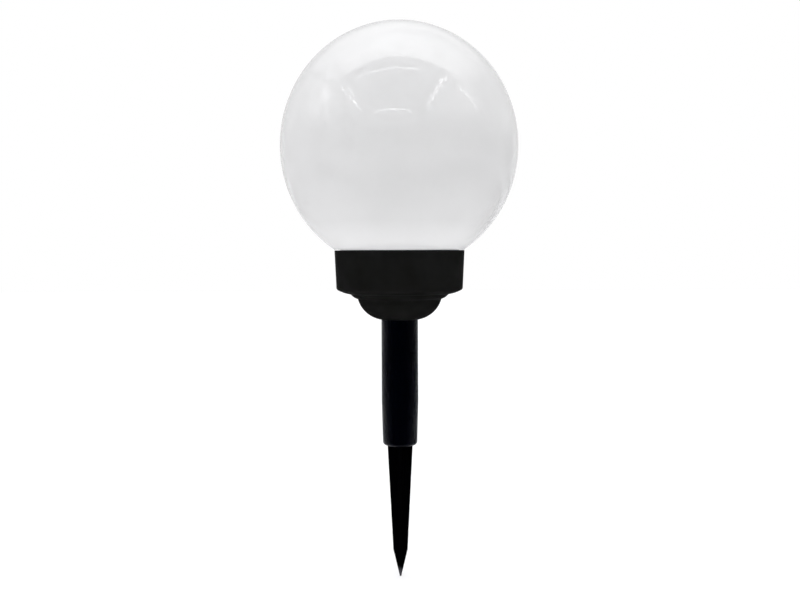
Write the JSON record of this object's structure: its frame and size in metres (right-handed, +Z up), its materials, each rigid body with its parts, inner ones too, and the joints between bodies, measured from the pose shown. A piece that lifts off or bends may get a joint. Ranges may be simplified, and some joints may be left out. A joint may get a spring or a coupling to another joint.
{
  "type": "solar globe garden light",
  "caption": "Opal globe garden light on a ground spike: a screw-in globe over a solar panel and lamps in a stepped black base, on a tube over a cross-bladed spike.",
  "frame": {"origin": "on the lamp's axis at the soil line, where the foot of the tube stands on the ground and the spike's blades begin", "axes": "+Z up along the axis of the spike, tube and globe; +Y points away from the viewer of the picture; the switch is on the -Y side of the deck and the battery lies along X"},
  "size_m": [0.1988, 0.1988, 0.4682],
  "materials": {
    "opal_plastic": "glossy opal white, smooth inside and out",
    "black_housing": "moulded black, fine satin texture",
    "deck_plastic": "moulded black, matt",
    "tube_plastic": "blue-black, smooth semi-gloss",
    "spike_plastic": "moulded black, matt",
    "seal_silicone": "matt translucent grey silicone",
    "panel_laminate": "dark green circuit laminate",
    "solar_silicon": "dark blue silicon with fine silver fingers",
    "clear_resin": "clear poured resin, domed gloss",
    "lamp_epoxy": "milky warm white epoxy",
    "switch_steel": "thin stamped steel can",
    "knob_plastic": "moulded off-white",
    "board_laminate": "green solder mask",
    "chip_resin": "black moulding resin",
    "inductor_lacquer": "green lacquer",
    "ceramic_coat": "orange-brown dipped coating",
    "tray_plastic": "moulded black, matt",
    "cell_sleeve": "green shrink sleeve over steel",
    "bright_steel": "nickel-plated steel",
    "screw_steel": "zinc-plated steel",
    "lead_red": "soft red insulation",
    "lead_black": "soft black insulation"
  },
  "bodies": {
    "spike": {"spike": "spike_plastic"},
    "stake": {"stake_tube": "tube_plastic"},
    "base": {"base_cup": "black_housing", "deck_plate": "deck_plastic", "panel_board": "panel_laminate", "solar_cells": "solar_silicon", "panel_resin": "clear_resin", "leds": "lamp_epoxy", "switch_body": "switch_steel", "circuit_board": "board_laminate", "driver_chip": "chip_resin", "inductor": "inductor_lacquer", "capacitor": "ceramic_coat", "battery_tray": "tray_plastic", "battery_cell": "cell_sleeve", "battery_terminal": "bright_steel", "battery_spring": "bright_steel", "contact_minus": "bright_steel", "contact_plus": "bright_steel", "deck_screws": "screw_steel", "tray_screws": "screw_steel", "battery_lead_red": "lead_red", "battery_lead_black": "lead_black", "panel_lead_red": "lead_red", "panel_lead_black": "lead_black"},
    "seal": {"globe_seal": "seal_silicone"},
    "globe": {"globe": "opal_plastic"},
    "switch": {"switch_knob": "knob_plastic"}
  },
  "joints": [
    {"name": "tube_pull", "type": "slide", "parent": "spike", "child": "stake", "axis": [0, 0, 1], "range_m": [0, 0.03]},
    {"name": "head_lift", "type": "slide", "parent": "stake", "child": "base", "axis": [0, 0, 1], "range_m": [0, 0.025]},
    {"name": "globe_unscrew", "type": "hinge", "parent": "base", "child": "seal", "pos_m": [0, 0, 0.15125], "axis": [0, 0, 1], "range_deg": [0, 360]},
    {"name": "globe_rise", "type": "slide", "parent": "seal", "child": "globe", "axis": [0, 0, 1], "range_m": [0, 0.0245]},
    {"name": "switch_slide", "type": "slide", "parent": "base", "child": "switch", "axis": [1, 0, 0], "range_m": [0, 0.002]}
  ],
  "couplings": [
    {"joint": "globe_rise", "follows": "globe_unscrew", "m_per_rad": 0.0038197}
  ]
}
